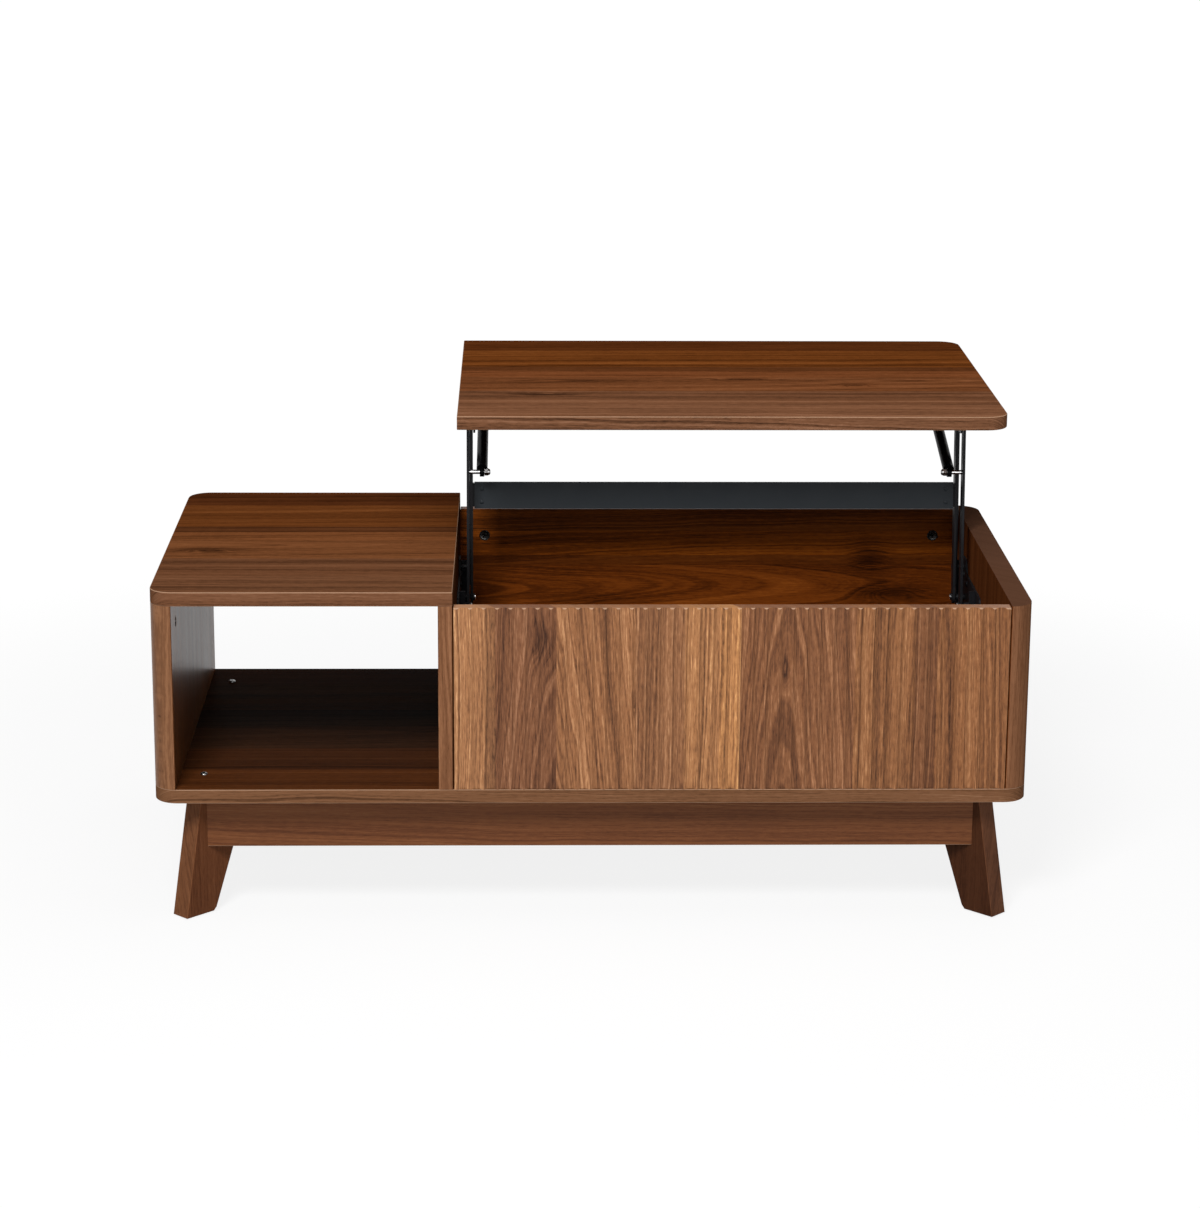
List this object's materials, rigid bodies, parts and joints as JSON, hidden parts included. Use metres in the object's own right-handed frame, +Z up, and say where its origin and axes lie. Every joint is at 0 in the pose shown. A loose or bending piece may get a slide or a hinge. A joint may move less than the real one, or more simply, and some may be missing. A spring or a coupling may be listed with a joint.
{
  "type": "lift top coffee table",
  "caption": "Walnut coffee table on splayed legs with an open cubby, a fluted storage compartment and a top over it that lifts up and back on linked arms.",
  "frame": {"origin": "on the floor, under the middle of the cabinet", "axes": "+X along the table's length, +Y from the fluted front to the seated side, +Z up"},
  "size_m": [1.1, 0.8125, 0.6037],
  "materials": {
    "walnut_tops": "satin walnut veneer, grain along the table",
    "walnut_upright": "satin walnut veneer, grain upright",
    "walnut_back": "satin walnut veneer, grain along the table",
    "walnut_apron": "satin walnut veneer, grain along the board",
    "walnut_legs": "satin walnut veneer, grain down the leg",
    "plain_wood": "bare beech",
    "glide_plastic": "matte brown plastic",
    "cam_zinc": "dull cast zinc",
    "zinc_plated": "bright zinc plate",
    "tube_black": "gloss black enamel",
    "rod_steel": "polished steel",
    "plate_steel": "satin blue-black powder coat",
    "linkage_black": "satin black powder coat"
  },
  "bodies": {
    "cabinet": {"apron_back": "walnut_apron", "apron_blocks": "plain_wood", "apron_front": "walnut_apron", "apron_left": "walnut_apron", "apron_right": "walnut_apron", "back_panel": "walnut_back", "base_bracket_left": "linkage_black", "base_bracket_right": "linkage_black", "bottom_panel": "walnut_tops", "cam_locks": "cam_zinc", "fixed_top": "walnut_tops", "front_panel": "walnut_upright", "leg_back_left": "walnut_legs", "leg_back_right": "walnut_legs", "leg_front_left": "walnut_legs", "leg_front_right": "walnut_legs", "leg_glides": "glide_plastic", "low_pivots": "zinc_plated", "partition": "walnut_upright", "side_panel_left": "walnut_upright", "side_panel_right": "walnut_upright"},
    "rear_arms": {"rear_arm_left": "linkage_black", "rear_arm_right": "linkage_black", "cross_plate": "plate_steel", "plate_cleats": "linkage_black"},
    "lift_top": {"lift_top": "walnut_tops", "top_rail_left": "linkage_black", "top_rail_right": "linkage_black", "high_pivots": "zinc_plated"},
    "front_arm_left": {"front_arm_left": "linkage_black", "gas_pin_left": "zinc_plated"},
    "gas_tube_left": {"gas_tube_left": "tube_black"},
    "gas_rod_left": {"gas_rod_left": "rod_steel"},
    "front_arm_right": {"front_arm_right": "linkage_black", "gas_pin_right": "zinc_plated"},
    "gas_tube_right": {"gas_tube_right": "tube_black"},
    "gas_rod_right": {"gas_rod_right": "rod_steel"}
  },
  "joints": [
    {"name": "lift", "type": "hinge", "parent": "cabinet", "child": "rear_arms", "pos_m": [0.174, 0.143, 0.32011], "axis": [1, 0, 0], "range_deg": [0, 77]},
    {"name": "top_level", "type": "hinge", "parent": "rear_arms", "child": "lift_top", "pos_m": [0.174, 0.16913, 0.56874], "axis": [1, 0, 0], "range_deg": [-77, 0]},
    {"name": "front_arm_left_pivot", "type": "hinge", "parent": "cabinet", "child": "front_arm_left", "pos_m": [-0.164, 0.098, 0.32011], "axis": [1, 0, 0], "range_deg": [0, 77]},
    {"name": "gas_tube_left_pivot", "type": "hinge", "parent": "front_arm_left", "child": "gas_tube_left", "pos_m": [-0.1415, 0.11702, 0.50111], "axis": [1, 0, 0], "range_deg": [-84.84, 0]},
    {"name": "gas_rod_left_slide", "type": "slide", "parent": "gas_tube_left", "child": "gas_rod_left", "axis": [0, 0.9685, 0.2489], "range_m": [-0.0787, 0]},
    {"name": "front_arm_right_pivot", "type": "hinge", "parent": "cabinet", "child": "front_arm_right", "pos_m": [0.512, 0.098, 0.32011], "axis": [1, 0, 0], "range_deg": [0, 77]},
    {"name": "gas_tube_right_pivot", "type": "hinge", "parent": "front_arm_right", "child": "gas_tube_right", "pos_m": [0.4895, 0.11702, 0.50111], "axis": [1, 0, 0], "range_deg": [-84.84, 0]},
    {"name": "gas_rod_right_slide", "type": "slide", "parent": "gas_tube_right", "child": "gas_rod_right", "axis": [0, 0.9685, 0.2489], "range_m": [-0.0787, 0]}
  ],
  "couplings": [
    {"joint": "top_level", "follows": "lift", "ratio": -1},
    {"joint": "front_arm_left_pivot", "follows": "lift", "ratio": 1},
    {"joint": "gas_tube_left_pivot", "follows": "lift", "ratio": -1.1017},
    {"joint": "gas_rod_left_slide", "follows": "lift", "m_per_rad": -0.058547},
    {"joint": "front_arm_right_pivot", "follows": "lift", "ratio": 1},
    {"joint": "gas_tube_right_pivot", "follows": "lift", "ratio": -1.1017},
    {"joint": "gas_rod_right_slide", "follows": "lift", "m_per_rad": -0.058547}
  ]
}
